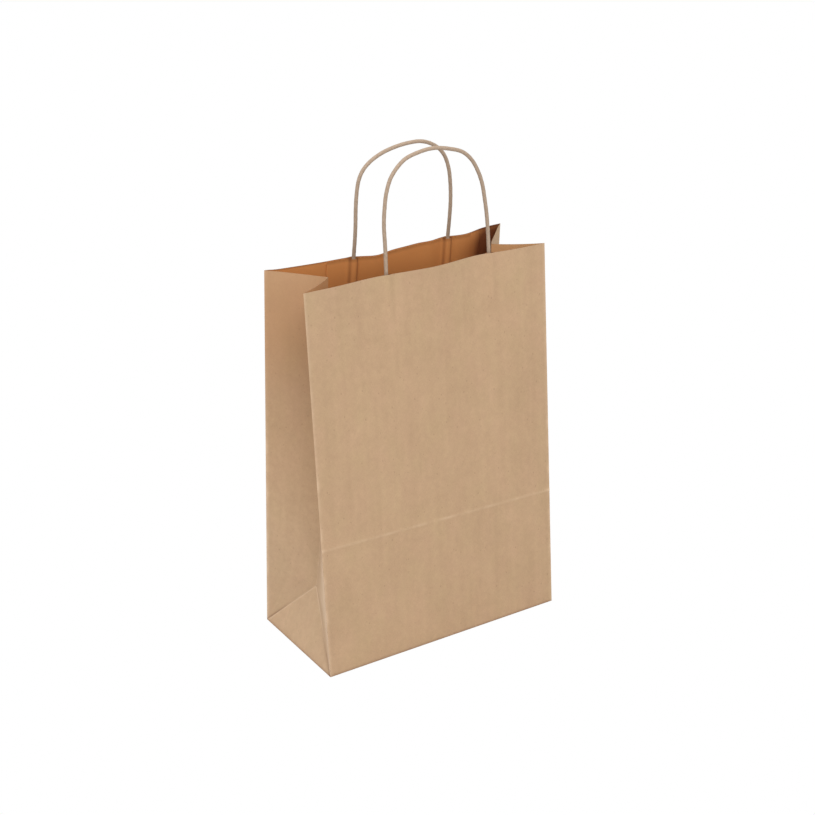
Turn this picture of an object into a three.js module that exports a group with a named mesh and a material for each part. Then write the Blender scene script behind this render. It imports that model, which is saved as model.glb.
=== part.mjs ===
// A kraft paper carrier bag with twisted cord handles, standing open on its block bottom.
// Millimetres, +Z up, the front wall faces -Y, and the origin is the middle of the base underside.
// Each stiff facet of the folded paper is its own mesh, so that the creases can work as hinges.
import * as THREE from 'three';

// The bag
const WIDTH = 220; // along X
const DEPTH = 105; // along Y, at the base
const PANEL = 312; // from the foot of a wall to the rim, along the paper
const PAPER = 0.3; // sheet thickness
const GAP = 0.3; // kept between meshes that touch
const FOOT = 3; // height of the walls' lower edges, with room under them for the folded triangles
const TRIANGLE_FOOT = 1.95; // height of the gusset triangles' lower edges, above the base flaps
const BACK_CREASE = DEPTH / 2; // up the back wall, which breaks here when the bag folds flat
const FOLD_EASE = { left: 4.5, right: 12.5 }; // how much less deep each gusset's fold is at the rim
const GUSSET_STEP = 11; // mm of height between a gusset's rulings

// The base flaps, from the outermost inward
const REAR_FLAP_REACH = 70;
const FRONT_FLAP_REACH = 65;
const SIDE_FLAP_REACH = 49;

// The side seam, glued inside the back wall by the right gusset
const SEAM_WIDTH = 20;
const SEAM_EDGE = 1.5; // from the seam lap to the wall's side edge

// The handles
const CORD = 3; // diameter
const CORD_SIDES = 8;
const CORD_LIFT = 0.3; // of the swing axis above the rim, past the cord's radius
const TAIL = 36; // length of cord held under the cover strip
const STRIP_WIDTH = 135;
const STRIP_HEIGHT = 42;
const STRIP_DROP = 0.5; // of the strips' upper edges below the rim
const RIDGE_HALF_WIDTH = 6; // of the cover strip's ridge over a tail
const LOOP_STEPS = 48;

// Distances inward from the middle of a wall's sheet to each layer of a handle's mounting
const BACKING_IN = PAPER + GAP;
const CORD_IN = BACKING_IN + PAPER / 2 + GAP + CORD / 2;
const COVER_FLAT_IN = BACKING_IN + PAPER + GAP;
const COVER_RIDGE_IN = CORD_IN + CORD / 2 + GAP + PAPER / 2;

// Each wall faces along Y and leans inward. Its cord loop leans inward from upright too, and the
// loop's route is in its own plane: across the bag, then up from the swing axis at the rim.
const FRONT = {
  facing: -1,
  lean: THREE.MathUtils.degToRad(5),
  loopLean: THREE.MathUtils.degToRad(2.5),
  route: [
    [-35.3, 0], [-35.6, 18], [-36.5, 36], [-35.8, 49], [-34, 61], [-29.3, 72.5], [-18.4, 82.9],
    [-5.3, 87], [9, 88.2], [24.7, 85.2], [35.1, 81.3], [43.2, 74], [49, 64.3], [53, 54],
    [55.8, 41], [58, 28], [59.6, 12], [60.2, 0],
  ],
};
const BACK = {
  facing: 1,
  lean: THREE.MathUtils.degToRad(3.29),
  loopLean: THREE.MathUtils.degToRad(8.6),
  route: [
    [-37, 0], [-36.8, 12.6], [-36.6, 24], [-36.6, 37], [-36.2, 47], [-35.2, 57], [-33.3, 64],
    [-29.8, 69.9], [-24.1, 75], [-17.1, 78.9], [-10.7, 81.3], [-1.7, 83.4], [8.8, 84.6],
    [19.3, 84.4], [28.6, 81.6], [37.5, 76.2], [44.1, 68.8], [48.9, 57.8], [51.6, 44],
    [52.8, 30.2], [53, 16.5], [53, 0],
  ],
};

const KRAFT = { color: 0xc1a382, roughness: 0.85, metalness: 0 };
const KRAFT_INSIDE = { color: 0xb98350, roughness: 0.85, metalness: 0 };
const CORD_PAPER = { color: 0xa98c6e, roughness: 0.8, metalness: 0 };

const bag = new THREE.Group();

function addPiece(name, geometry, look) {
  const piece = new THREE.Mesh(geometry, new THREE.MeshStandardMaterial(look));
  piece.name = name;
  bag.add(piece);
}

// ---- Sheets ----

// A sheet of paper through a grid of points, rows of Vector3, with PAPER of thickness about them.
function sheetGeometry(rows) {
  const high = rows.length;
  const wide = rows[0].length;
  const at = (i, j) => rows[Math.min(Math.max(i, 0), high - 1)][Math.min(Math.max(j, 0), wide - 1)];
  const front = [];
  const back = [];
  for (let i = 0; i < high; i++) {
    for (let j = 0; j < wide; j++) {
      const up = at(i + 1, j).clone().sub(at(i - 1, j));
      const across = at(i, j + 1).clone().sub(at(i, j - 1));
      const normal = across.cross(up).normalize().multiplyScalar(PAPER / 2);
      front.push(at(i, j).clone().add(normal));
      back.push(at(i, j).clone().sub(normal));
    }
  }
  const positions = [...front, ...back].flatMap((p) => [p.x, p.y, p.z]);
  const f = (i, j) => i * wide + j;
  const b = (i, j) => high * wide + i * wide + j;
  const faces = [];
  const quad = (p, q, r, s) => faces.push(p, q, r, p, r, s);
  for (let i = 0; i + 1 < high; i++) {
    for (let j = 0; j + 1 < wide; j++) {
      quad(f(i, j), f(i, j + 1), f(i + 1, j + 1), f(i + 1, j));
      quad(b(i, j), b(i + 1, j), b(i + 1, j + 1), b(i, j + 1));
    }
    quad(f(i, 0), f(i + 1, 0), b(i + 1, 0), b(i, 0));
    quad(f(i, wide - 1), b(i, wide - 1), b(i + 1, wide - 1), f(i + 1, wide - 1));
  }
  for (let j = 0; j + 1 < wide; j++) {
    quad(f(0, j), b(0, j), b(0, j + 1), f(0, j + 1));
    quad(f(high - 1, j), f(high - 1, j + 1), b(high - 1, j + 1), b(high - 1, j));
  }
  const geometry = new THREE.BufferGeometry();
  geometry.setAttribute('position', new THREE.Float32BufferAttribute(positions, 3));
  geometry.setIndex(faces);
  return geometry;
}

function stepsBetween(from, to, count) {
  return Array.from({ length: count + 1 }, (_, k) => from + ((to - from) * k) / count);
}

// ---- Walls ----

// The middle of a wall's sheet: up is measured along the paper from its foot, and inward is square
// to it, towards the inside of the bag.
function wallPoint(wall, x, up, inward = 0) {
  const y = DEPTH / 2 - PAPER / 2 - up * Math.sin(wall.lean) - inward * Math.cos(wall.lean);
  const z = FOOT + up * Math.cos(wall.lean) - inward * Math.sin(wall.lean);
  return new THREE.Vector3(x, wall.facing * y, z);
}

// A wall facet between two heights, with its outside towards its own side.
function wallFacet(wall, left, right, heights, inward = 0) {
  const across = wall === FRONT ? [left, right] : [right, left];
  return sheetGeometry(heights.map((up) => across.map((x) => wallPoint(wall, x, up, inward))));
}

const wallEdge = WIDTH / 2 - GAP;
addPiece('front_wall', wallFacet(FRONT, -wallEdge, wallEdge, [0, PANEL]), KRAFT);
addPiece('back_wall_lower', wallFacet(BACK, -wallEdge, wallEdge, [0, BACK_CREASE - GAP]), KRAFT);
addPiece('back_wall_upper', wallFacet(BACK, -wallEdge, wallEdge, [BACK_CREASE + GAP, PANEL]), KRAFT);

// ---- Side seam ----

const seamRight = wallEdge - SEAM_EDGE;
const seamLeft = seamRight - SEAM_WIDTH;
const seamIn = PAPER + GAP;
const lowerSeam = [1, BACK_CREASE - 1];
const upperSeam = [BACK_CREASE + 1, PANEL - 1];
addPiece('side_seam_lower', wallFacet(BACK, seamLeft, seamRight, lowerSeam, seamIn), KRAFT_INSIDE);
addPiece('side_seam_upper', wallFacet(BACK, seamLeft, seamRight, upperSeam, seamIn), KRAFT_INSIDE);

// ---- Gussets ----

const HALF = DEPTH / 2; // width of each half of a gusset, along the paper

// A gusset's middle fold, half a depth from both wall edges, as far up the paper as given.
// The walls lean together, so the fold lies deeper inside the bag the higher it is, less the ease
// that the paper takes up by bowing.
function gussetFold(side, up) {
  const front = wallPoint(FRONT, 0, up);
  const back = wallPoint(BACK, 0, up);
  const reach = (back.y - front.y) / 2;
  const apexReach = (wallPoint(BACK, 0, HALF).y - wallPoint(FRONT, 0, HALF).y) / 2;
  const drop = HALF - apexReach; // the triangle leans in, so its apex and the fold sit lower
  const ease = side > 0 ? FOLD_EASE.right : FOLD_EASE.left;
  const eased = (ease * Math.max(up - HALF, 0)) / (PANEL - HALF);
  const depth = Math.sqrt(HALF ** 2 - reach ** 2 - drop ** 2) - eased;
  return new THREE.Vector3(side * (WIDTH / 2 - depth), (front.y + back.y) / 2, (front.z + back.z) / 2 - drop);
}

// The inner end of a ruling: on the diagonal crease below the triangle's apex, on the fold above.
function rulingEnd(wall, side, up) {
  if (up >= HALF) return gussetFold(side, up);
  return wallPoint(wall, (side * WIDTH) / 2, 0).lerp(gussetFold(side, HALF), up / HALF);
}

// One facet of a gusset, ruled between a wall's side edge and the fold or the diagonal.
function gussetFacet(wall, side, from, to) {
  const count = Math.max(2, Math.round((to - from) / GUSSET_STEP));
  const rows = stepsBetween(from, to, count).map((up) => {
    const edge = wallPoint(wall, (side * WIDTH) / 2, up);
    const end = rulingEnd(wall, side, up);
    const length = edge.distanceTo(end);
    const ruling = [edge.clone().lerp(end, (2 * GAP) / length), edge.clone().lerp(end, 1 - (2 * GAP) / length)];
    return (wall === FRONT) === side > 0 ? ruling : ruling.reverse();
  });
  return sheetGeometry(rows);
}

// The triangle that stands on the base's side edge, nearly from corner to corner, up to the apex.
function gussetTriangle(side) {
  const apex = gussetFold(side, HALF);
  const heights = stepsBetween(0, HALF - 6 * GAP, 2);
  const edge = side * (WIDTH / 2 - PAPER / 2);
  const ends = [-1, 1].map((end) => new THREE.Vector3(edge, end * (DEPTH / 2 - 3 * GAP), TRIANGLE_FOOT));
  const rows = heights.map((up) => {
    const row = ends.map((end) => end.clone().lerp(apex, up / HALF));
    return side > 0 ? row : row.reverse();
  });
  return sheetGeometry(rows);
}

const CORNER_START = 6 * GAP; // a ruling needs room for its end gaps
for (const [name, side] of [['left', -1], ['right', 1]]) {
  addPiece(`${name}_gusset_front`, gussetFacet(FRONT, side, CORNER_START, PANEL), KRAFT);
  addPiece(`${name}_gusset_corner`, gussetFacet(BACK, side, CORNER_START, BACK_CREASE - GAP), KRAFT);
  addPiece(`${name}_gusset_rear`, gussetFacet(BACK, side, BACK_CREASE + GAP, PANEL), KRAFT);
  addPiece(`${name}_gusset_triangle`, gussetTriangle(side), KRAFT);
}

// ---- Base ----

// A flap with 45 degree corners, reaching inward from one edge of the base, in layer 0, 1 or 2.
function flap(edgeLength, edgeDistance, reach, turn, layer) {
  const half = edgeLength / 2 - GAP;
  const z = PAPER / 2 + layer * (PAPER + GAP);
  const near = edgeDistance - GAP;
  const rows = [
    [new THREE.Vector3(-half, -near, z), new THREE.Vector3(half, -near, z)],
    [new THREE.Vector3(-half + reach, reach - near, z), new THREE.Vector3(half - reach, reach - near, z)],
  ];
  const upwards = new THREE.Vector3(0, 0, 1);
  for (const row of rows) {
    for (const point of row) point.applyAxisAngle(upwards, turn);
  }
  return sheetGeometry(rows);
}

addPiece('base_flap_rear', flap(WIDTH, DEPTH / 2, REAR_FLAP_REACH, Math.PI, 0), KRAFT);
addPiece('base_flap_front', flap(WIDTH, DEPTH / 2, FRONT_FLAP_REACH, 0, 1), KRAFT);
addPiece('base_flap_left', flap(DEPTH, WIDTH / 2, SIDE_FLAP_REACH, -Math.PI / 2, 2), KRAFT_INSIDE);
addPiece('base_flap_right', flap(DEPTH, WIDTH / 2, SIDE_FLAP_REACH, Math.PI / 2, 2), KRAFT_INSIDE);

// ---- Handles ----

function cordGeometry(curve, steps) {
  const section = new THREE.Shape();
  for (let k = 0; k < CORD_SIDES; k++) {
    const turn = (2 * Math.PI * k) / CORD_SIDES;
    const x = (CORD / 2) * Math.cos(turn);
    const y = (CORD / 2) * Math.sin(turn);
    if (k === 0) section.moveTo(x, y);
    else section.lineTo(x, y);
  }
  section.closePath();
  return new THREE.ExtrudeGeometry(section, { steps, bevelEnabled: false, extrudePath: curve });
}

const leftTail = (wall) => wall.route[0][0];
const rightTail = (wall) => wall.route[wall.route.length - 1][0];

// How far the cover strip stands in from the wall at x: flat, with a ridge over each tail.
function coverIn(x, wall) {
  let inward = COVER_FLAT_IN;
  for (const tail of [leftTail(wall), rightTail(wall)]) {
    const away = Math.min(Math.abs(x - tail) / RIDGE_HALF_WIDTH, 1);
    inward += (COVER_RIDGE_IN - COVER_FLAT_IN) * Math.cos((away * Math.PI) / 2) ** 2;
  }
  return inward;
}

function addStrips(name, wall) {
  const middle = (leftTail(wall) + rightTail(wall)) / 2;
  const left = middle - STRIP_WIDTH / 2;
  const right = middle + STRIP_WIDTH / 2;
  const heights = [PANEL - STRIP_DROP - STRIP_HEIGHT, PANEL - STRIP_DROP];
  addPiece(`${name}_handle_backing`, wallFacet(wall, left, right, heights, BACKING_IN), KRAFT_INSIDE);
  const stations = [left, right];
  for (const tail of [leftTail(wall), rightTail(wall)]) {
    for (let k = -4; k <= 4; k++) stations.push(tail + (RIDGE_HALF_WIDTH * k) / 4);
  }
  stations.sort((p, q) => wall.facing * (q - p));
  const rows = heights.map((up) => stations.map((x) => wallPoint(wall, x, up, coverIn(x, wall))));
  addPiece(`${name}_handle_cover`, sheetGeometry(rows), KRAFT_INSIDE);
}

function addTails(name, wall) {
  for (const [side, x] of [['left', leftTail(wall)], ['right', rightTail(wall)]]) {
    const foot = wallPoint(wall, x, PANEL - TAIL, CORD_IN);
    const top = wallPoint(wall, x, PANEL, CORD_IN);
    addPiece(`${name}_cord_${side}_tail`, cordGeometry(new THREE.LineCurve3(foot, top), 1), CORD_PAPER);
  }
}

function addLoop(name, wall) {
  const axis = wallPoint(wall, 0, PANEL + CORD / 2 + CORD_LIFT, CORD_IN);
  const points = wall.route.map(([x, rise]) => {
    const y = axis.y - wall.facing * rise * Math.sin(wall.loopLean);
    return new THREE.Vector3(x, y, axis.z + rise * Math.cos(wall.loopLean));
  });
  addPiece(`${name}_cord_loop`, cordGeometry(new THREE.CatmullRomCurve3(points), LOOP_STEPS), CORD_PAPER);
}

for (const [name, wall] of [['front', FRONT], ['back', BACK]]) {
  addStrips(name, wall);
  addTails(name, wall);
  addLoop(name, wall);
}

export default bag;
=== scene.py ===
# A kraft paper carrier bag with twisted cord handles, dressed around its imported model.
# Lengths here are millimetres, and MM turns them into the metres of the scene. +Z is up, the
# front wall faces -Y, and the origin is the middle of the underside of the base.
import math

import bpy
import numpy as np
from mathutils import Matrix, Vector, noise


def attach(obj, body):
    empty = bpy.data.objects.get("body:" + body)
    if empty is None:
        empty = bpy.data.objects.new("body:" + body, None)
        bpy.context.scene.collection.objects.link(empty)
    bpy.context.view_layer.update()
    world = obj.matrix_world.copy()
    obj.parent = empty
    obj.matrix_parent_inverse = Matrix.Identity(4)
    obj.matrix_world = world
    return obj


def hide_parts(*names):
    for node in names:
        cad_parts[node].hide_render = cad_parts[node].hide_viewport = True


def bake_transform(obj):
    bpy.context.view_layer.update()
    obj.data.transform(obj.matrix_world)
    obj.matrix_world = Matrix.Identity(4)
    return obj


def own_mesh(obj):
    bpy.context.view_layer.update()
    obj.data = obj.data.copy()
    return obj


MM = 0.001

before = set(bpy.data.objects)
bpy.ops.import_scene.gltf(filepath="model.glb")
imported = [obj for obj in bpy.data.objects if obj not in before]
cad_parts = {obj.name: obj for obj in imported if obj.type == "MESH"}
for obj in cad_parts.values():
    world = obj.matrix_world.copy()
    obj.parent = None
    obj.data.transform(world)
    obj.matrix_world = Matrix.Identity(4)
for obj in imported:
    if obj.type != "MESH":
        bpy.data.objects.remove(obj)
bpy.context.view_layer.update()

# ---- Driving dimensions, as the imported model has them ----

WIDTH = 220.0
DEPTH = 105.0
HALF = DEPTH / 2
PANEL = 312.0  # from the foot of a packed wall to the rim, along the paper
PAPER = 0.3
FOOT = 3.0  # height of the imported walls' lower edges; the paper here reaches the floor
LOWEST = 0.1  # height of the lower edges here
FLOOR_UP = LOWEST - FOOT  # the walls' lower edge, measured as PANEL is
GUSSET_UP = FLOOR_UP + 0.4  # the gussets' lower edge, measured in the same way
TOUCH = 0.03  # between glued layers
PRESS_LINE = 103.0  # height of the line pressed across the front wall by the folded base
PRESS_TILT = -0.025  # rise of the press line per mm along X
BACK_CREASE = HALF
SEAM_WIDTH = 20.0
SEAM_EDGE = 1.8  # from the seam lap to the wall's side edge
REAR_FLAP_REACH = 70.0
FRONT_FLAP_REACH = 65.0
SIDE_FLAP_REACH = 49.0
FLAP_PITCH = 0.6  # height from one layer of base flaps to the next

CORD = 3.0  # diameter
CORD_IN = 2.7  # from a wall's outside to the middle of a cord
CORD_LIFT = 0.3
TAIL = 36.0  # of cord held under a cover strip
GLUE_END = 8.0  # below the rim, where a cord comes free of its strip
STRIP_WIDTH = 135.0
STRIP_HEIGHT = 42.0
STRIP_DROP = 0.5  # of a strip's upper edge below the rim
STRIP_FOOT = PANEL - STRIP_DROP - STRIP_HEIGHT
RIDGE_HALF_WIDTH = 6.0  # of a cover strip's ridge over a tail

FOOT_BAND = 12.0  # of a wall's height is in its foot piece, by the base
CREASE_BAND = 8.0  # on each side of the back crease is in the crease piece
SHEET_STEP = 3.2  # between grid lines of a sheet
FINEST_STEP = 0.35
EDGE_OFFSETS = (0.0, 0.7, 1.5, 2.6, 4.2)  # of the finer grid lines beside a crease

# How deep the paper's unevenness is, and the size of its lumps.
SWELL_DEPTH = 0.75
SWELL_SIZE = 75
DENT_DEPTH = 0.16
DENT_SIZE = 21
TAIL_RELIEF = 0.8  # how far a cord's tail shows through to the outside
PRESS_RELIEF = 0.22
INSIDE_WARMTH = 0.4  # how much painted light through the paper warms a gusset's inside

# A rim bump is its place along X, its half-width and how far in it pushes the paper, and
# bump_depth is how far below the rim the bumps fade out.
# A cord loop is planar and leans inward from upright: its route runs across the bag, then up
# from the swing axis just above the rim. cord_length is in metres.
FRONT = {
    "name": "front",
    "facing": -1,
    "lean": math.radians(5),
    "rim_bumps": [(-47, 22, 3.2), (3, 15, -1.5), (49, 23, 5.2)],
    "bump_depth": 95.0,
    "body": "front_wall",
    "handle_body": "front_handle",
    "loop_lean": math.radians(2.5),
    "route": [
        (-35.3, 0), (-35.6, 18), (-36.5, 36), (-35.8, 49), (-34, 61), (-29.3, 72.5), (-18.4, 82.9),
        (-5.3, 87), (9, 88.2), (24.7, 85.2), (35.1, 81.3), (43.2, 74), (49, 64.3), (53, 54),
        (55.8, 41), (58, 28), (59.6, 12), (60.2, 0),
    ],
    "cord_length": 0.308,
}
BACK = {
    "name": "back",
    "facing": 1,
    "lean": math.radians(3.29),
    "rim_bumps": [(-54, 50, 5.9), (-18, 13, 5.8), (9, 37, 6.6), (38, 9, 2.5), (69, 17, 6.2)],
    "bump_depth": 85.0,
    "body": "back_upper",
    "handle_body": "back_handle",
    "loop_lean": math.radians(8.6),
    "route": [
        (-37, 0), (-36.8, 12.6), (-36.6, 24), (-36.6, 37), (-36.2, 47), (-35.2, 57), (-33.3, 64),
        (-29.8, 69.9), (-24.1, 75), (-17.1, 78.9), (-10.7, 81.3), (-1.7, 83.4), (8.8, 84.6),
        (19.3, 84.4), (28.6, 81.6), (37.5, 76.2), (44.1, 68.8), (48.9, 57.8), (51.6, 44),
        (52.8, 30.2), (53, 16.5), (53, 0),
    ],
    "cord_length": 0.3,
}
FOLD_EASE = {-1: 4.5, 1: 12.5}  # how much less deep the left and right folds are at the rim


def smooth(start, end, value):
    """0 before start, 1 after end, and an even ramp between them."""
    t = np.clip((value - start) / (end - start), 0, 1)
    return t * t * (3 - 2 * t)


def hump(distance, half_width):
    """1 at distance 0, falling off evenly on both sides."""
    return np.exp(-((distance / half_width) ** 2))


def rough(x, y, size, seed):
    """Smooth noise from about -1 to 1 over arrays of places, with lumps of that size."""
    x, y = np.broadcast_arrays(x, y)
    lumps = [noise.noise(Vector((a / size, b / size, seed))) for a, b in zip(x.flat, y.flat)]
    return np.array(lumps).reshape(x.shape)


# ---- Shape of the walls and gussets ----


def tails(wall):
    """The places along X of a wall's two cord tails."""
    return wall["route"][0][0], wall["route"][-1][0]


def strip_span(wall):
    """The left and right edges of a wall's handle strips."""
    middle = sum(tails(wall)) / 2
    return middle - STRIP_WIDTH / 2, middle + STRIP_WIDTH / 2


def flat_point(wall, x, up, inward=0.0):
    """A point on a wall before the paper's own unevenness, inward from its outside."""
    x, up, inward = np.broadcast_arrays(x, up, inward)
    y = DEPTH / 2 - up * math.sin(wall["lean"]) - inward * math.cos(wall["lean"])
    z = FOOT + up * math.cos(wall["lean"]) - inward * math.sin(wall["lean"])
    return np.stack([x, wall["facing"] * y, z], axis=-1)


def handle_relief(wall, x, up):
    """How far the strips and cord tails under it push a wall outward."""
    left, right = strip_span(wall)
    inside = smooth(left - 1, left + 1, x) - smooth(right - 1, right + 1, x)
    inside = inside * smooth(STRIP_FOOT - 1, STRIP_FOOT + 1, up)
    relief = 0.1 * inside + 0.16 * inside * rough(x, up, 9, 5.5)
    tail_foot = PANEL - TAIL
    for tail in tails(wall):
        over = hump(x - tail, 2.6) * smooth(tail_foot - 3, tail_foot + 4, up)
        relief = relief + TAIL_RELIEF * over
    return relief


def press_height(x):
    """Where the press line crosses the front wall."""
    return PRESS_LINE + PRESS_TILT * x


def unevenness(wall, x, up):
    """How far the paper of a wall lies inward of flat: its rim waves, swells and dents."""
    to_side = WIDTH / 2 - np.abs(x)
    low = 1 - smooth(0, wall["bump_depth"], PANEL - up)
    waves = sum(depth * hump(x - at, half) for at, half, depth in wall["rim_bumps"])
    inward = waves * low * smooth(0, 9, to_side)
    free = smooth(0, 30, to_side) * smooth(0, 35, up - FLOOR_UP)
    inward = inward + free * SWELL_DEPTH * rough(x, up * 0.7, SWELL_SIZE, wall["facing"] * 3.3)
    inward = inward + free * DENT_DEPTH * rough(x, up, DENT_SIZE, wall["facing"] * 8.1)
    inward = inward - handle_relief(wall, x, up)
    if wall is FRONT:
        inward = inward - PRESS_RELIEF * hump(up - press_height(x), 1.5)
    return inward


def wall_point(wall, x, up, inward=0.0):
    """A point of a wall's paper, inward from its outside."""
    return flat_point(wall, x, up, inward + unevenness(wall, x, up))


def gusset_fold(side, up):
    """A gusset's middle fold, half a depth from both walls' edges, less what bowing takes up."""
    front = flat_point(FRONT, 0, up)
    back = flat_point(BACK, 0, up)
    reach = (back[..., 1] - front[..., 1]) / 2
    apex_reach = (flat_point(BACK, 0, HALF)[1] - flat_point(FRONT, 0, HALF)[1]) / 2
    drop = HALF - apex_reach
    eased = FOLD_EASE[side] * np.maximum(up - HALF, 0) / (PANEL - HALF)
    depth = np.sqrt(HALF**2 - reach**2 - drop**2) - eased
    middle = (front + back) / 2
    x = side * (WIDTH / 2 - depth)
    return np.stack([x, middle[..., 1], middle[..., 2] - drop], axis=-1)


def base_corner(side, wall):
    """The corner of the base where a wall and a gusset meet."""
    return np.array([side * WIDTH / 2, wall["facing"] * DEPTH / 2, LOWEST])


def ruling_end(wall, side, up):
    """The inner end of a gusset's ruling: on the diagonal crease low down, then on the fold."""
    share = np.clip((up - FLOOR_UP) / (HALF - FLOOR_UP), 0, 1)[:, None]
    diagonal = base_corner(side, wall) * (1 - share) + gusset_fold(side, np.array(HALF)) * share
    return np.where(share < 1, diagonal, gusset_fold(side, np.maximum(up, HALF)))


def stations(low, high, step, *creases):
    """Places from low to high, about step apart, and closer together beside each crease."""
    places = list(np.linspace(low, high, max(1, round((high - low) / step)) + 1))
    for crease in creases:
        for offset in EDGE_OFFSETS:
            places += [crease - offset, crease + offset]
    places = sorted(p for p in places if low <= p <= high)
    kept = [places[0]]
    for place in places[1:]:
        if place - kept[-1] > FINEST_STEP:
            kept.append(place)
    kept[-1] = high
    return np.array(kept)


def normals_of(points):
    """Unit normals of a grid of points, from its neighbours across and up."""
    across = np.gradient(points, axis=1)
    up = np.gradient(points, axis=0)
    normal = np.cross(across, up)
    return normal / np.maximum(np.linalg.norm(normal, axis=-1, keepdims=True), 1e-9)


# ---- Sheets ----


def add_flat_places(mesh, place):
    """The flat place of each point, as the UV map that the materials read."""
    corners = np.zeros(len(mesh.loops), np.int32)
    mesh.loops.foreach_get("vertex_index", corners)
    mesh.uv_layers.new(name="flat").data.foreach_set("uv", place[corners].ravel())


def add_mark(mesh, title, values):
    """A value at each point, which a material reads by its title."""
    mesh.attributes.new(title, "FLOAT", "POINT").data.foreach_set("value", values)


def add_piece(name, mesh):
    """An object with that mesh, in the scene."""
    mesh.update()
    piece = bpy.data.objects.new(name, mesh)
    bpy.context.scene.collection.objects.link(piece)
    return piece


def two_sided(mark, shape):
    """A mark at each point of a sheet's outside, then of its inside; a pair has one of each."""
    sides = mark if isinstance(mark, tuple) else (mark, mark)
    return np.concatenate([np.broadcast_to(m, shape).ravel() for m in sides])


def sheet(name, points, flat, looks, wear_and_light, shade, warm_light, taper=1.0):
    """A paper sheet whose outside is a grid of points, with its flat place and marks at each.

    taper is the share of the paper's thickness that is left, so that sheets meet in one line at
    a crease. looks are the materials of the outside, the inside and the cut edge.
    """
    high, wide = points.shape[:2]
    thickness = PAPER * np.broadcast_to(taper, (high, wide))[..., None]
    inside = points - normals_of(points) * thickness
    spots = np.concatenate([points.reshape(-1, 3), inside.reshape(-1, 3)]) * MM
    place = np.tile(flat.reshape(-1, 2), (2, 1)) * MM
    index = np.arange(high * wide).reshape(high, wide)
    outer = np.stack([index[:-1, :-1], index[:-1, 1:], index[1:, 1:], index[1:, :-1]], axis=-1)
    outer = outer.reshape(-1, 4)
    inner = outer[:, ::-1] + high * wide
    edge = np.concatenate([index[0], index[1:, -1], index[-1, -2::-1], index[-2:0:-1, 0]])
    # The cut edge has points of its own, so that its shading stays apart from the faces'.
    both_edges = np.concatenate([edge, edge + high * wide])
    first = 2 * high * wide
    here = np.arange(len(edge))
    after = np.roll(here, -1)
    rim = np.stack([here, here + len(edge), after + len(edge), after], axis=-1) + first
    faces = np.concatenate([outer, inner, rim])
    mesh = bpy.data.meshes.new(name)
    mesh.from_pydata(np.concatenate([spots, spots[both_edges]]).tolist(), [], faces.tolist())
    mesh.polygons.foreach_set("use_smooth", [True] * len(faces))
    kinds = np.repeat([0, 1, 2], [len(outer), len(inner), len(rim)])
    mesh.polygons.foreach_set("material_index", kinds.astype(np.int32))
    add_flat_places(mesh, np.concatenate([place, place[both_edges]]))
    # The marks: rubbing with painted light, painted shade, and painted light through the paper.
    for title, mark in (("wear_and_light", wear_and_light), ("shade", shade), ("warm_light", warm_light)):
        values = two_sided(mark, (high, wide))
        add_mark(mesh, title, np.concatenate([values, values[both_edges]]))
    for look in looks:
        mesh.materials.append(look)
    return add_piece(name, mesh)


def worn_and_highlit_line(distance, place, half_width=1.1, seed=0.0):
    """How pale the paper is at a distance from a crease, patchy along its length: rubbed paper,
    with a painted highlight where the fold rounds.
    """
    patch = 0.62 + 0.5 * rough(place, np.zeros_like(place), 14, seed)
    return hump(distance, half_width) * patch


def inside_shade(x, up):
    """How dark a wall's inside is: by the rim's edge, deep down, and by the right gusset."""
    depth = PANEL - up
    shade = 0.05 + 0.5 * hump(depth, 0.9) + 0.4 * smooth(8, 70, depth)
    return shade + 0.62 * smooth(60, 96, x) * smooth(-4, 16, depth) + 0.6 * smooth(78, 94, x)


def thinned(to_crease):
    """How much of the paper's thickness is left at a distance from a crease."""
    return np.clip(to_crease / 1.5, 0.06, 1)


def wall_sheet(name, wall, low, high):
    """The part of a wall between two heights."""
    side = WIDTH / 2
    x = stations(-side, side, SHEET_STEP, -side, side, *tails(wall))
    x = x if wall is FRONT else x[::-1]
    crease = PRESS_LINE if wall is FRONT else BACK_CREASE
    up = stations(low, high, SHEET_STEP, FLOOR_UP, crease, crease - 6, crease + 6, PANEL)
    x, up = np.meshgrid(x, up)
    points = wall_point(wall, x, up)
    to_side = side - np.abs(x)
    # Pale lines by the side folds, the foot and the crease: rubbed paper with a painted highlight.
    wear_and_light = worn_and_highlit_line(to_side, up, 2.6, 2.0) + worn_and_highlit_line(up - FLOOR_UP, x)
    if wall is FRONT:
        wear_and_light = wear_and_light + 0.8 * worn_and_highlit_line(up - press_height(x), x, 1.5)
    else:
        wear_and_light = wear_and_light + 0.3 * worn_and_highlit_line(up - crease, x, 1.0)
    start = 0 if wall is FRONT else WIDTH + DEPTH
    flat = np.stack([start + wall["facing"] * -x, up], axis=-1)
    # Painted shade: a dark line along the foot outside, and the inside's painted shade. Painted
    # light through the paper makes the inside warmer.
    shade = (0.5 * hump(up - FLOOR_UP, 1.3), inside_shade(x, up))
    return sheet(name, points, flat, PAPER_LOOKS, wear_and_light, shade, (0.0, 1.0), thinned(to_side))


def corner_shade(to_diagonal, height):
    """How dark a gusset is along its diagonal crease, near the back corner of the base."""
    return 0.55 * hump(to_diagonal, 1.6) * (1 - smooth(4, 34, height))


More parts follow.
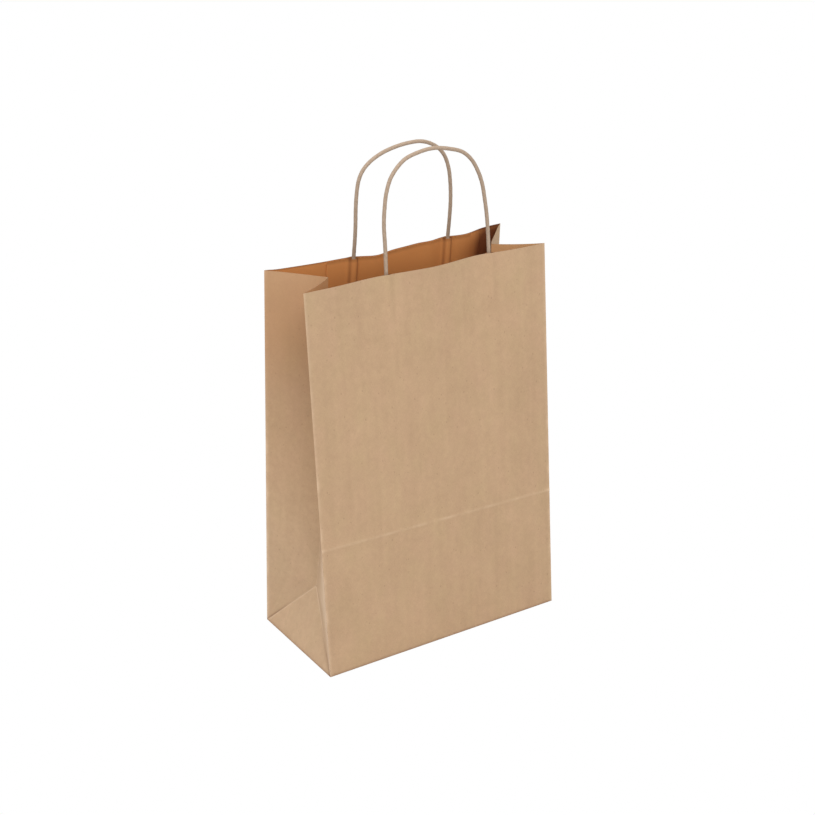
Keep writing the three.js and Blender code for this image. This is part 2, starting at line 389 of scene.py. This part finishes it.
def gusset_marks(wall, side, share, height, from_edge, near_end):
    """How pale, dark, warmer in colour and thick the outside of a gusset half is at each point:
    pale with rubbed paper, painted light and painted highlights, dark with painted shade, and
    warmer with painted light through the paper.
    """
    by_rim = smooth(PANEL - 30, PANEL, height)
    wear_and_light = worn_and_highlit_line(from_edge, height, 2.2, 2.0) + 0.5 * worn_and_highlit_line(near_end, height, 0.9, 7.0)
    # Painted light: paler low down and by the rim.
    wear_and_light = wear_and_light + 0.4 * (1 - smooth(120, 240, height)) + 0.2 * by_rim
    # Painted shade below the rim.
    shade = 0.05 * smooth(150, 250, height) * (1 - by_rim)
    if wall is FRONT:
        # Painted light: the front half is paler by its wall's edge.
        wear_and_light = wear_and_light + 0.8 * (1 - share) * (1 - by_rim)
    else:
        shade = shade + corner_shade(near_end, height)
    # Painted light through the paper, on the left gusset only.
    warm_light = (0.1 * smooth(60, 150, height) + 0.35 * smooth(200, 270, height)) * (side < 0)
    return wear_and_light, shade, warm_light, thinned(np.minimum(from_edge, near_end))


def gusset_sheet(name, wall, side, low, high):
    """The part of a gusset's front or rear half between two heights of its wall's edge."""
    up = stations(low, high, SHEET_STEP, HALF)
    share = stations(0, HALF, SHEET_STEP, 0, HALF) / HALF
    edge = flat_point(wall, side * WIDTH / 2, up)
    end = ruling_end(wall, side, up)
    points = edge[:, None] * (1 - share[:, None]) + end[:, None] * share[:, None]
    across, height = np.meshgrid(share * HALF, up)
    near_end = np.linalg.norm(end - edge, axis=-1)[:, None] * (1 - share)
    from_edge = np.linalg.norm(end - edge, axis=-1)[:, None] * share
    free = smooth(0, 16, from_edge) * smooth(0, 16, near_end)
    swell = 0.9 * rough(across, height * 0.6, 48, 4.0 * side)
    dent = 0.25 * rough(across, height, 15, 1.7)
    bow = 1.0 + 0.15 * FOLD_EASE[side] * (wall is FRONT)
    lift = free * (swell + dent) - bow * np.sin(math.pi * share) * smooth(80, 300, height)
    turned = (wall is FRONT) != (side > 0)
    points = points + normals_of(points) * np.where(turned, -1, 1) * lift[..., None]
    start = WIDTH / 2 if wall is FRONT else WIDTH / 2 + DEPTH
    flat = np.stack([side * (start + wall["facing"] * -across), height], axis=-1)
    marks = gusset_marks(wall, side, share, height, from_edge, near_end)
    if turned:
        points = points[:, ::-1]
        flat = flat[:, ::-1]
        marks = [mark[:, ::-1] for mark in marks]
    wear_and_light, shade, warm_light, taper = marks
    return sheet(name, points, flat, PAPER_LOOKS, wear_and_light, shade, (warm_light, INSIDE_WARMTH), taper)


def triangle_sheet(name, side):
    """The triangle of a gusset that stands on the base's side edge, up to the apex."""
    apex = gusset_fold(side, np.array(HALF))
    front = base_corner(side, FRONT)
    back = base_corner(side, BACK)
    rise = stations(0, HALF - 0.4, 2.4, 0)[:, None, None] / HALF
    share = np.linspace(0, 1, 34)[None, :, None]
    ends = (front, back) if side > 0 else (back, front)
    row = ends[0] * (1 - share) + ends[1] * share
    points = row * (1 - rise) + apex * rise
    across = (share[..., 0] - 0.5) * (1 - rise[..., 0]) * DEPTH
    height = np.broadcast_to(rise[..., 0] * HALF, across.shape)
    to_crease = (HALF * (1 - rise[..., 0]) - np.abs(across)) / math.sqrt(2)
    free = smooth(0, 12, to_crease) * smooth(0, 10, height)
    lift = free * (0.5 + 0.5 * rough(across, height, 26, 6.0 * side))
    points = points + normals_of(points) * lift[..., None]
    # Painted light: the whole triangle is paler, and its creases and foot are pale with rubbing and
    # a painted highlight.
    wear_and_light = 0.5 + 0.6 * worn_and_highlit_line(to_crease, across, 0.9, 3.0)
    wear_and_light = wear_and_light + 0.5 * worn_and_highlit_line(height, across, 1.0, 9.0)
    flat = np.stack([across + side * 2 * WIDTH, height], axis=-1)
    # Painted shade along the crease by the back corner and along the foot; painted light through
    # the paper on the inside.
    by_back = across * side < 0
    shade = np.where(by_back, corner_shade(to_crease, height), 0) + 0.5 * hump(height, 1.3)
    taper = thinned(to_crease)
    return sheet(name, points, flat, PAPER_LOOKS, wear_and_light, shade, (0.0, 1.0), taper)


# ---- Materials ----


def linear(red, green, blue):
    """A display colour, 0 to 255, as the linear colour that shaders use."""
    parts = [c / 255 for c in (red, green, blue)]
    parts = [c / 12.92 if c <= 0.04045 else ((c + 0.055) / 1.055) ** 2.4 for c in parts]
    return (*parts, 1.0)


def add_node(tree, kind, inputs=None, **settings):
    """A node with its settings made, and each input set to a value or linked to a socket."""
    node = tree.nodes.new(kind)
    for name, value in settings.items():
        setattr(node, name, value)
    for key, value in (inputs or {}).items():
        if isinstance(value, bpy.types.NodeSocket):
            tree.links.new(value, node.inputs[key])
        else:
            node.inputs[key].default_value = value
    return node


def math_node(tree, operation, first, second, third=0.0):
    """The result of an operation on values or sockets; only MULTIPLY_ADD uses the third."""
    inputs = {0: first, 1: second, 2: third}
    return add_node(tree, "ShaderNodeMath", inputs, operation=operation).outputs[0]


def stretched(tree, place, scale, turn):
    """The flat place on the paper, turned, then scaled to lumps of 1/scale metres."""
    inputs = {"Vector": place, "Rotation": (0, 0, turn), "Scale": (*scale, 1)}
    return add_node(tree, "ShaderNodeMapping", inputs).outputs[0]


def grain(tree, place, scale, detail=2.0, turn=0.0):
    """Noise about the middle value 0, on the flat place."""
    inputs = {"Vector": stretched(tree, place, scale, turn), "Scale": 1.0, "Detail": detail}
    inputs["Roughness"] = 0.55
    value = add_node(tree, "ShaderNodeTexNoise", inputs).outputs["Fac"]
    return math_node(tree, "SUBTRACT", value, 0.5)


def total(tree, parts):
    """The sum of sockets, each times its amount."""
    value = 0.0
    for socket, amount in parts:
        value = math_node(tree, "MULTIPLY_ADD", socket, amount, value)
    return value


def specks(tree, place, scale, size):
    """1 inside sparse small flecks, 0 elsewhere."""
    inputs = {"Vector": stretched(tree, place, (scale, scale * 0.6), 0.4), "Scale": 1.0}
    cells = add_node(tree, "ShaderNodeTexVoronoi", inputs)
    chosen = math_node(tree, "GREATER_THAN", cells.outputs["Color"], 0.72)
    near = math_node(tree, "LESS_THAN", cells.outputs["Distance"], size)
    return math_node(tree, "MULTIPLY", chosen, near)


def blended(tree, amount, first, second):
    """The first colour where the amount is 0, the second where it is 1."""
    # Inputs 6 and 7 and output 2 of this node are its colours.
    inputs = {"Factor": amount, 6: first, 7: second}
    return add_node(tree, "ShaderNodeMix", inputs, data_type="RGBA").outputs[2]


def set_surface(tree, colour, gloss, relief, relief_height, specular):
    """Links a look's colour, roughness and fine relief to its shader."""
    shader = tree.nodes["Principled BSDF"]
    tree.links.new(colour, shader.inputs["Base Color"])
    tree.links.new(gloss, shader.inputs["Roughness"])
    bump = {"Height": relief, "Strength": 0.5, "Distance": relief_height * MM}
    bumped = add_node(tree, "ShaderNodeBump", bump).outputs[0]
    tree.links.new(bumped, shader.inputs["Normal"])
    shader.inputs["Specular IOR Level"].default_value = specular


def paper_look(name, dark, rosy, straw, pale, warm_light, roughness):
    """Unbleached paper: cloudy formation, machine streaks, fibres, flecks and pale folds.

    Its dark fibres lie in paper that drifts from rosy to straw. The wear_and_light mark makes it
    pale: rubbed paper, and painted light and highlights. The warm_light mark makes it warmer
    with painted light coming through the paper, and the shade mark darkens it with painted shade.
    """
    look = bpy.data.materials.new(name)
    look.use_nodes = True
    tree = look.node_tree
    place = add_node(tree, "ShaderNodeUVMap", uv_map="flat").outputs[0]
    marks = {
        mark: add_node(tree, "ShaderNodeAttribute", attribute_name=mark).outputs["Fac"]
        for mark in ("wear_and_light", "shade", "warm_light")
    }
    cloud = grain(tree, place, (26, 18), 3.0)
    blotch = grain(tree, place, (95, 70), 2.0, 0.3)
    mottle = grain(tree, place, (230, 180), 3.0)
    streaks = grain(tree, place, (120, 4), 2.0)
    long_fibres = grain(tree, place, (3400, 420), 1.0)
    cross_fibres = grain(tree, place, (520, 2900), 1.0, 0.5)
    tooth = grain(tree, place, (2600, 2600), 2.0, 0.2)
    tone = total(tree, [
        (cloud, 0.4), (blotch, 0.22), (mottle, 0.36), (streaks, 0.3), (long_fibres, 0.45),
        (cross_fibres, 0.4), (tooth, 0.25),
    ])
    tone = math_node(tree, "ADD", tone, 0.5)
    tone = math_node(tree, "MULTIPLY_ADD", specks(tree, place, 330, 0.16), -0.35, tone)
    drift = grain(tree, place, (48, 30), 2.0, 0.9)
    drift = math_node(tree, "MULTIPLY_ADD", drift, 2.2, 0.5)
    colour = blended(tree, tone, dark, blended(tree, drift, rosy, straw))
    # Paler where the wear_and_light mark says: rubbed paper, and painted light and highlights.
    pale_share = math_node(tree, "MULTIPLY_ADD", mottle, 0.5, marks["wear_and_light"])
    pale_share = math_node(tree, "MULTIPLY", math_node(tree, "MULTIPLY", pale_share, marks["wear_and_light"]), 0.8)
    colour = blended(tree, math_node(tree, "MINIMUM", pale_share, 0.85), colour, pale)
    # Painted light coming through the paper, as a warmer colour.
    colour = blended(tree, marks["warm_light"], colour, warm_light)
    # Painted shade.
    colour = blended(tree, math_node(tree, "MINIMUM", marks["shade"], 0.9), colour, DEEP_SHADE)
    gloss = total(tree, [(mottle, 0.25), (tooth, 0.15)])
    gloss = math_node(tree, "ADD", gloss, roughness)
    relief = total(tree, [(long_fibres, 1.0), (cross_fibres, 0.8), (tooth, 0.7), (mottle, 1.6)])
    set_surface(tree, colour, gloss, relief, 0.06, 0.3)
    return look


def cord_look():
    """Paper twisted into cord: darker in the lap between turns, with streaks along the turns."""
    look = bpy.data.materials.new("cord_paper")
    look.use_nodes = True
    tree = look.node_tree
    place = add_node(tree, "ShaderNodeUVMap", uv_map="flat").outputs[0]
    fibres = grain(tree, place, (5200, 900), 2.0)
    mottle = grain(tree, place, (420, 420), 2.0)
    lap = add_node(tree, "ShaderNodeAttribute", attribute_name="lap").outputs["Fac"]
    tone = math_node(tree, "ADD", total(tree, [(fibres, 0.7), (mottle, 0.5), (lap, -0.14)]), 0.56)
    colour = blended(tree, tone, linear(130, 109, 90), linear(192, 169, 147))
    gloss = math_node(tree, "ADD", total(tree, [(fibres, 0.2), (mottle, 0.2)]), 0.68)
    set_surface(tree, colour, gloss, fibres, 0.08, 0.35)
    return look


DEEP_SHADE = linear(92, 42, 18)
# In each look, the pale colour stands for rubbed paper and painted light, and the colour after it
# is painted light coming through the paper.
kraft = paper_look(
    "kraft", linear(163, 133, 103), linear(202, 167, 135), linear(197, 168, 131),
    linear(216, 188, 158), linear(188, 138, 94), 0.8,
)
kraft_inside = paper_look(
    "kraft_inside", linear(178, 142, 104), linear(212, 176, 134), linear(208, 178, 132),
    linear(224, 190, 150), linear(216, 146, 84), 0.84,
)
kraft_edge = paper_look(
    "kraft_edge", linear(120, 94, 72), linear(150, 120, 92), linear(146, 120, 90),
    linear(150, 122, 96), linear(146, 104, 70), 0.9,
)
cord_paper = cord_look()
PAPER_LOOKS = (kraft, kraft_inside, kraft_edge)
INSIDE_LOOKS = (kraft_inside, kraft_inside, kraft_inside)


# ---- Cords ----

CORD_STEP = 0.7  # between rings of a cord's mesh
CORD_RING = 26  # points round it
LAPS = 2  # paper edges seen winding round the cord
LAP_PITCH = 13.0  # along the cord for one whole turn
LAP_STEP = 0.1  # height of the edge that each turn leaves


def cord_path(wall):
    """The middle of a handle cord: up from one tail's end, round the loop, down to the other's."""
    left, right = tails(wall)
    rises = np.linspace(-TAIL, 0, 13)
    foot_left, foot_right = (
        wall_point(wall, x, PANEL + rises, CORD_IN + handle_relief(wall, x, PANEL + rises))
        for x in (left, right)
    )
    axis = flat_point(wall, 0.0, PANEL + CORD / 2 + CORD_LIFT, CORD_IN)
    route = np.array(wall["route"], float)
    lean = wall["loop_lean"]
    loop = np.stack([
        route[:, 0],
        axis[1] - wall["facing"] * route[:, 1] * math.sin(lean),
        axis[2] + route[:, 1] * math.cos(lean),
    ], axis=-1)
    # The rim waves carry the cord's feet inward, and the loop takes that up over its height.
    carried_left = foot_left[-1, 1] - flat_point(wall, 0.0, PANEL, CORD_IN)[1]
    carried_right = foot_right[-1, 1] - flat_point(wall, 0.0, PANEL, CORD_IN)[1]
    across = smooth(left, right, route[:, 0])
    shift = carried_left * (1 - across) + carried_right * across
    loop[:, 1] += shift * (1 - 0.75 * smooth(0, 80, route[:, 1]))
    return evenly_spaced(np.concatenate([foot_left[:-1], loop, foot_right[-2::-1]]), CORD_STEP)


def lengths_along(points):
    """The length along a line of points, at each of them."""
    return np.concatenate([[0], np.cumsum(np.linalg.norm(np.diff(points, axis=0), axis=1))])


def evenly_spaced(points, step):
    """A smooth curve through the points, with new points that far apart."""
    ends = [2 * points[0] - points[1], *points, 2 * points[-1] - points[-2]]
    fine = []
    for before, start, end, after in zip(ends, ends[1:], ends[2:], ends[3:]):
        gap = np.linalg.norm(end - start)
        out = (end - before) / (np.linalg.norm(start - before) + gap) * gap
        back = (after - start) / (np.linalg.norm(after - end) + gap) * gap
        for t in np.arange(0, 1, 1 / 24):
            fine.append(
                (2 * t**3 - 3 * t**2 + 1) * start + (t**3 - 2 * t**2 + t) * out
                + (3 * t**2 - 2 * t**3) * end + (t**3 - t**2) * back
            )
    fine = np.array([*fine, points[-1]])
    along = lengths_along(fine)
    at = np.linspace(0, along[-1], round(along[-1] / step) + 1)
    return np.stack([np.interp(at, along, fine[:, k]) for k in range(3)], axis=-1)


def cord_mesh(name, path):
    """A twisted paper cord along a path, with the turns' laps in its shape."""
    tangent = np.gradient(path, axis=0)
    tangent /= np.linalg.norm(tangent, axis=1, keepdims=True)
    side = np.zeros_like(path)
    side[0] = np.cross(tangent[0], (0.0, 1.0, 0.0))
    for k in range(1, len(path)):
        side[k] = side[k - 1] - tangent[k] * (side[k - 1] @ tangent[k])
        side[k] /= np.linalg.norm(side[k])
    other = np.cross(tangent, side)
    along = lengths_along(path)[:, None]
    turn = np.linspace(0, 2 * math.pi, CORD_RING, endpoint=False)[None]
    phase = LAPS * (turn / (2 * math.pi) + along / LAP_PITCH)
    phase = phase + 0.12 * rough(along + 0 * turn, 0 * turn, 9, 2.2)
    share = phase % 1
    edge = smooth(0.0, 0.16, share) * (1 - 0.75 * share)
    uneven = 1 + 0.03 * rough(along, 3 * np.sin(turn), 4, 7.7)
    radius = (CORD / 2 - LAP_STEP / 2 + LAP_STEP * edge) * uneven
    ring = radius[..., None] * (
        np.cos(turn)[..., None] * side[:, None] + np.sin(turn)[..., None] * other[:, None]
    )
    points = (path[:, None] + ring).reshape(-1, 3)
    index = np.arange(len(path) * CORD_RING).reshape(-1, CORD_RING)
    right = np.roll(index, -1, axis=1)
    faces = np.stack([index[:-1], right[:-1], right[1:], index[1:]], axis=-1)
    faces = faces.reshape(-1, 4).tolist()
    faces += [index[0, ::-1].tolist(), index[-1].tolist()]
    mesh = bpy.data.meshes.new(name)
    mesh.from_pydata((points * MM).tolist(), [], faces)
    mesh.polygons.foreach_set("use_smooth", [True] * len(faces))
    lap = (1 - smooth(0.02, 0.3, share)) + smooth(0.93, 1.0, share)
    add_mark(mesh, "lap", lap.ravel())
    # Flat places follow the turns, so that streaks run along the twisted paper.
    place = np.stack([share * 4.5, along - turn * 1.5], axis=-1).reshape(-1, 2) * MM
    add_flat_places(mesh, place)
    mesh.materials.append(cord_paper)
    return add_piece(name, mesh)


def add_cord(wall):
    """A wall's handle cord: its tails lie along the wall and its loop runs along the handle's
    route.
    """
    name = wall["name"]
    path = cord_path(wall)
    cord = cord_mesh(f"{name}_handle_cord", path)
    rim = flat_point(wall, 0.0, PANEL, CORD_IN) * MM
    loop_foot = flat_point(wall, 0.0, PANEL + 7, CORD_IN) * MM
    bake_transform(cord)
    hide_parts(f"{name}_cord_loop", f"{name}_cord_left_tail", f"{name}_cord_right_tail")
    leaves = wall_point(wall, np.array(tails(wall)[0]), np.array(PANEL - GLUE_END), CORD_IN)


# ---- Handle strips ----


def cover_in(wall, x):
    """How far inside a wall's outside the cover strip lies: flat, with a ridge over each tail."""
    flat_in = 2 * (PAPER + TOUCH)
    over = CORD_IN + CORD / 2 + TOUCH
    shares = [np.minimum(np.abs(x - tail) / RIDGE_HALF_WIDTH, 1) for tail in tails(wall)]
    ridge = sum(np.cos(share * math.pi / 2) ** 2 for share in shares)
    return flat_in + (over - flat_in) * ridge


def strip_sheet(name, wall, inward):
    """A strip of paper glued inside a wall by the rim, at a distance that depends on x."""
    left, right = strip_span(wall)
    ridges = [tail + beside for tail in tails(wall) for beside in (-4.5, 0, 4.5)]
    x = stations(left, right, SHEET_STEP, left, right, *ridges)
    x = x if wall is FRONT else x[::-1]
    up = stations(STRIP_FOOT, PANEL - STRIP_DROP, SHEET_STEP, STRIP_FOOT)
    x, up = np.meshgrid(x, up)
    glued = smooth(0, 8, x - left) * smooth(0, 8, right - x)
    lift = 0.25 * np.maximum(rough(x, up, 17, 3.1), 0) * glued
    points = wall_point(wall, x, up, inward(x) + handle_relief(wall, x, up) + lift)
    flat = np.stack([3 * WIDTH + x, wall["facing"] * 2 * PANEL + up], axis=-1)
    # Painted shade in the valleys beside each tail and as on the wall's inside; painted light
    # through the paper on both faces.
    valleys = sum(hump(np.abs(x - tail) - 2.9, 1.0) for tail in tails(wall))
    shade = inside_shade(x, up) + 0.4 * valleys
    return sheet(name, points, flat, INSIDE_LOOKS, 0.0, shade, 1.0)


def add_strips(wall):
    """The two strips that hold a wall's cord between them."""
    name = wall["name"]
    backing = strip_sheet(f"{name}_strip_backing", wall, lambda x: PAPER + TOUCH + 0 * x)
    cover = strip_sheet(f"{name}_strip_cover", wall, lambda x: cover_in(wall, x))
    for piece, node in ((backing, "handle_backing"), (cover, "handle_cover")):
        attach(piece, wall["body"])
        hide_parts(f"{name}_{node}")


# ---- The bag's body ----


def point_on(wall, up):
    """A point on the middle line of a wall, in metres."""
    return (flat_point(wall, 0.0, up) * MM).tolist()


def bend_at_base(piece, wall):
    """Applies the place of a wall's lowest paper to its mesh."""
    point_on(wall, FLOOR_UP)
    point_on(wall, 4.0)
    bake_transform(piece)


def add_front():
    """The front wall, in a foot and a panel."""
    foot = wall_sheet("front_panel_foot", FRONT, FLOOR_UP, FOOT_BAND)
    bend_at_base(foot, FRONT)
    panel = wall_sheet("front_panel", FRONT, FOOT_BAND, PANEL)
    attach(panel, "front_wall")
    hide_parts("front_wall")


def add_back():
    """The back wall, in pieces below, across and above its crease."""
    low = BACK_CREASE - CREASE_BAND
    high = BACK_CREASE + CREASE_BAND
    lower = wall_sheet("back_panel_lower", BACK, FLOOR_UP, low)
    bend_at_base(lower, BACK)
    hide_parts("back_wall_lower")
    crease = wall_sheet("back_panel_crease", BACK, low, high)
    start = point_on(BACK, BACK_CREASE - 2.5)
    end = point_on(BACK, BACK_CREASE + 2.5)
    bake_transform(crease)
    upper = wall_sheet("back_panel_upper", BACK, high, PANEL)
    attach(upper, "back_upper")
    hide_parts("back_wall_upper")


def flatten_with_fold(piece, wall):
    """Gives a gusset half a mesh of its own."""
    point_on(wall, 0.0)
    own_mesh(piece)


def add_gussets():
    """Each side's gusset: a front half, a rear half with its lower corner, and a triangle."""
    for name, side in (("left", -1), ("right", 1)):
        halves = (
            ("front", FRONT, GUSSET_UP, PANEL, "front_wall"),
            ("corner", BACK, GUSSET_UP, HALF, "back_lower"),
            ("rear", BACK, HALF, PANEL, "back_upper"),
        )
        for part, wall, low, high, body in halves:
            piece = gusset_sheet(f"{name}_side_{part}", wall, side, low, high)
            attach(piece, body)
            flatten_with_fold(piece, wall)
            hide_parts(f"{name}_gusset_{part}")
        triangle = triangle_sheet(f"{name}_side_triangle", side)
        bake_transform(triangle)
        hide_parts(f"{name}_gusset_triangle")


def add_seam():
    """The lap that closes the tube of paper, glued inside the back wall by the right gusset."""
    right = WIDTH / 2 - SEAM_EDGE
    left = right - SEAM_WIDTH
    across = stations(left, right, SHEET_STEP, left)[::-1]
    for part, low, high in (("lower", 1.0, BACK_CREASE - 1), ("upper", BACK_CREASE + 1, PANEL - 1)):
        x, up = np.meshgrid(across, stations(low, high, SHEET_STEP, high))
        points = wall_point(BACK, x, up, PAPER + TOUCH)
        flat = np.stack([5 * WIDTH + x, up], axis=-1)
        # Painted shade as on the wall's inside, and painted light through the paper on both faces.
        shade = inside_shade(x, up)
        seam = sheet(f"side_lap_{part}", points, flat, INSIDE_LOOKS, 0.0, shade, 1.0)
        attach(seam, f"back_{part}")
        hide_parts(f"side_seam_{part}")


def base_flap(name, length, distance, reach, turn, layer):
    """A base flap with 45 degree corners, reaching inward from one edge of the base.

    distance is from the origin to that edge, and layer 0 is the lowest.
    """
    half = length / 2
    rows = stations(0.3 + 0.5 * layer, reach, SHEET_STEP, reach)[:, None]
    share = np.linspace(-1, 1, round(length / SHEET_STEP))[None]
    x = share * (half - rows)
    y = rows - distance + 0 * share
    free = smooth(0, 15, rows) * smooth(0, 12, half - rows - np.abs(x))
    lift = 0.22 * np.maximum(rough(x, y, 38, layer + 0.5), 0) * free
    z = layer * FLAP_PITCH + PAPER + lift
    cosine = math.cos(turn)
    sine = math.sin(turn)
    points = np.stack([cosine * x - sine * y, sine * x + cosine * y, z], axis=-1)
    wear_and_light = worn_and_highlit_line(rows + 0 * x, x, 1.0, 1.0 + layer)
    flat = np.stack([x + 7 * WIDTH, y + layer * WIDTH], axis=-1)
    # Seen from below the outside shows, so the grid runs with its normal down.
    points = points[:, ::-1]
    flat = flat[:, ::-1]
    # Its inside is warmer with painted light through the paper.
    return sheet(name, points, flat, PAPER_LOOKS, wear_and_light[:, ::-1], 0.0, (0.0, 1.0))


def add_base():
    """The block bottom: four flaps glued over each other, the rear one outermost."""
    flaps = (
        ("rear", WIDTH, DEPTH / 2, REAR_FLAP_REACH, math.pi, 0),
        ("front", WIDTH, DEPTH / 2, FRONT_FLAP_REACH, 0.0, 1),
        ("left", DEPTH, WIDTH / 2, SIDE_FLAP_REACH, -math.pi / 2, 2),
        ("right", DEPTH, WIDTH / 2, SIDE_FLAP_REACH, math.pi / 2, 2),
    )
    for name, length, distance, reach, turn, layer in flaps:
        flap = base_flap(f"bottom_flap_{name}", length, distance, reach, turn, layer)
        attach(flap, "base")
        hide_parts(f"base_flap_{name}")


# ---- Camera, light and floor ----

CAMERA_PLACE = (-0.6554, -1.0091, 0.7143)  # metres, as all places in this section
CAMERA_AZIMUTH = math.radians(-32.87)
CAMERA_ELEVATION = math.radians(23.63)
LENS = 72.13  # on a 36 mm wide frame
ROOM_LIGHT = 0.74
FLOOR_REACH = 6.0
FLOOR_DROP = 0.0002  # so that the floor and the bag's underside don't share a plane


def add_camera():
    """The camera, whose elevation is how far down it looks."""
    camera = bpy.data.objects.new("camera", bpy.data.cameras.new("camera"))
    camera.data.lens = LENS
    camera.data.clip_end = 20
    camera.location = CAMERA_PLACE
    camera.rotation_euler = (math.pi / 2 - CAMERA_ELEVATION, 0, CAMERA_AZIMUTH)
    bpy.context.scene.collection.objects.link(camera)
    bpy.context.scene.camera = camera


def add_light(name, place, target, size, power):
    """A round soft light of that size and power in watts, aimed at the target."""
    lamp = bpy.data.lights.new(name, "AREA")
    lamp.shape = "DISK"
    lamp.size = size
    lamp.energy = power
    light = bpy.data.objects.new(name, lamp)
    light.location = place
    aim = Vector(target) - Vector(place)
    light.rotation_euler = aim.to_track_quat("-Z", "Y").to_euler()
    bpy.context.scene.collection.objects.link(light)


def plain_white(tree, lit):
    """A surface that the camera sees as plain white, and that gives light and shade as lit."""
    seen = add_node(tree, "ShaderNodeEmission", {"Color": (1, 1, 1, 1), "Strength": 1.0})
    direct = add_node(tree, "ShaderNodeLightPath").outputs["Is Camera Ray"]
    return add_node(tree, "ShaderNodeMixShader", {0: direct, 1: lit, 2: seen.outputs[0]}).outputs[0]


def add_room():
    """White all round, the same from every side."""
    world = bpy.data.worlds.new("white_room")
    world.use_nodes = True
    tree = world.node_tree
    glow = tree.nodes["Background"]
    glow.inputs["Color"].default_value = (1, 1, 1, 1)
    glow.inputs["Strength"].default_value = ROOM_LIGHT
    surface = tree.nodes["World Output"].inputs["Surface"]
    tree.links.new(plain_white(tree, glow.outputs[0]), surface)
    bpy.context.scene.world = world


def add_floor():
    """A pale plain floor, larger than any view of it."""
    reach = FLOOR_REACH
    corners = [(-reach, -reach, 0), (reach, -reach, 0), (reach, reach, 0), (-reach, reach, 0)]
    mesh = bpy.data.meshes.new("floor")
    mesh.from_pydata(corners, [], [(0, 1, 2, 3)])
    floor = add_piece("floor", mesh)
    floor.location.z = -FLOOR_DROP
    look = bpy.data.materials.new("floor_white")
    look.use_nodes = True
    tree = look.node_tree
    shader = tree.nodes["Principled BSDF"]
    shader.inputs["Base Color"].default_value = (0.8, 0.8, 0.8, 1)
    shader.inputs["Roughness"].default_value = 0.9
    surface = tree.nodes["Material Output"].inputs["Surface"]
    tree.links.new(plain_white(tree, shader.outputs[0]), surface)
    mesh.materials.append(look)


add_camera()
add_cord(FRONT)
add_cord(BACK)
add_strips(FRONT)
add_strips(BACK)
add_front()
add_back()
add_gussets()
add_seam()
add_base()
add_room()
add_floor()
add_light("key", (-0.4, -1.5, 1.9), (0, 0, 0.2), 1.0, 19)
add_light("top", (-0.6, 0.0, 2.1), (0, 0, 0.2), 0.9, 14)
bpy.context.scene.view_settings.view_transform = "Standard"
